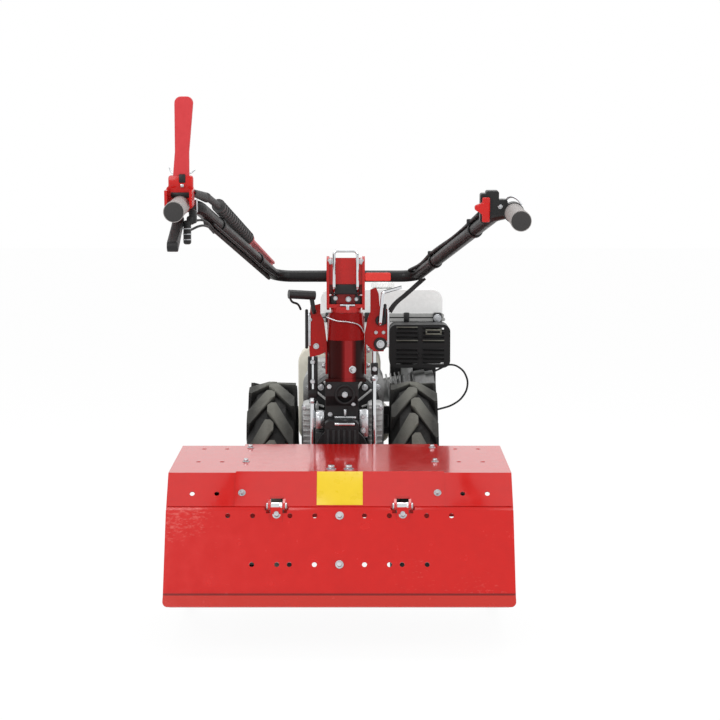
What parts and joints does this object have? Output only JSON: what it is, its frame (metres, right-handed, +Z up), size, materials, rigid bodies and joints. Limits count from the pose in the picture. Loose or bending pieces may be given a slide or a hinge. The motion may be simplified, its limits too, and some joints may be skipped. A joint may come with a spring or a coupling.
{
  "type": "walking tractor",
  "caption": "Two-wheel walking tractor with a small engine, an adjustable handlebar and a wide rear rotary tiller under a hinged flap.",
  "frame": {"origin": "on the floor, under the middle of the machine's box", "axes": "+X to the machine's right, +Y forward, +Z up"},
  "size_m": [0.7, 1.6902, 1.0887],
  "materials": {
    "red_paint": "gloss",
    "black_paint": "satin",
    "cast_black": "satin",
    "cast_alloy": "matte",
    "cream_plastic": "satin",
    "white_plastic": "gloss",
    "black_plastic": "satin",
    "cable_rubber": "satin",
    "chrome": "polished",
    "grip_rubber": "matte",
    "tyre": "matte",
    "rim_silver": "satin"
  },
  "bodies": {
    "chassis": {"gearbox_case": "cast_black", "axle_housing": "cast_black", "clutch_housing": "cast_alloy", "engine_block": "cast_alloy", "engine_cylinder": "cast_alloy", "fan_housing": "cream_plastic", "recoil_starter": "black_plastic", "fuel_tank": "white_plastic", "fuel_cap": "white_plastic", "muffler": "cast_black", "muffler_guard": "black_paint", "air_filter": "black_plastic", "engine_bed": "black_paint", "front_bumper": "black_paint", "engine_cable": "cable_rubber", "column_post": "red_paint", "column_cover": "red_paint", "lever_plates": "red_paint", "shift_rods": "chrome", "select_lever": "chrome", "gear_lever": "black_plastic", "pto_coupling": "cast_black", "tiller_case": "red_paint", "hood_center": "red_paint", "hood_wings": "red_paint", "depth_skids": "black_paint", "hinge_pins": "chrome"},
    "column_head": {"head_bracket": "red_paint", "lock_bail": "chrome", "lock_lever": "red_paint"},
    "handlebar": {"handlebar_tube": "black_paint", "grips": "grip_rubber", "lever_bracket": "red_paint", "engage_lever": "red_paint", "clutch_lever": "black_plastic", "throttle_housing": "black_plastic", "throttle_lever": "red_paint", "reverse_lever": "black_plastic", "control_cables": "cable_rubber"},
    "flap": {"rear_flap": "red_paint"},
    "rotor": {"tine_rotor": "black_paint"},
    "left_wheel": {"tyre_left": "tyre", "wheel_left": "rim_silver"},
    "right_wheel": {"tyre_right": "tyre", "wheel_right": "rim_silver"}
  },
  "joints": [
    {"name": "left_wheel_spin", "type": "hinge", "parent": "chassis", "child": "left_wheel", "pos_m": [-0.17, 0.345, 0.23], "axis": [1, 0, 0], "continuous": true},
    {"name": "right_wheel_spin", "type": "hinge", "parent": "chassis", "child": "right_wheel", "pos_m": [0.17, 0.345, 0.23], "axis": [1, 0, 0], "continuous": true},
    {"name": "rotor_spin", "type": "hinge", "parent": "chassis", "child": "rotor", "pos_m": [0, -0.245, 0.197], "axis": [1, 0, 0], "continuous": true},
    {"name": "flap_hinge", "type": "hinge", "parent": "chassis", "child": "flap", "pos_m": [0, -0.427, 0.287], "axis": [-1, 0, 0], "range_deg": [0, 65]},
    {"name": "handlebar_swing", "type": "hinge", "parent": "chassis", "child": "column_head", "pos_m": [0.009, 0.045, 0.65], "axis": [0, 0, 1], "range_deg": [-20, 20]},
    {"name": "handlebar_tilt", "type": "hinge", "parent": "column_head", "child": "handlebar", "pos_m": [0.009, 0.045, 0.73], "axis": [-1, 0, 0], "range_deg": [-8, 16]}
  ]
}
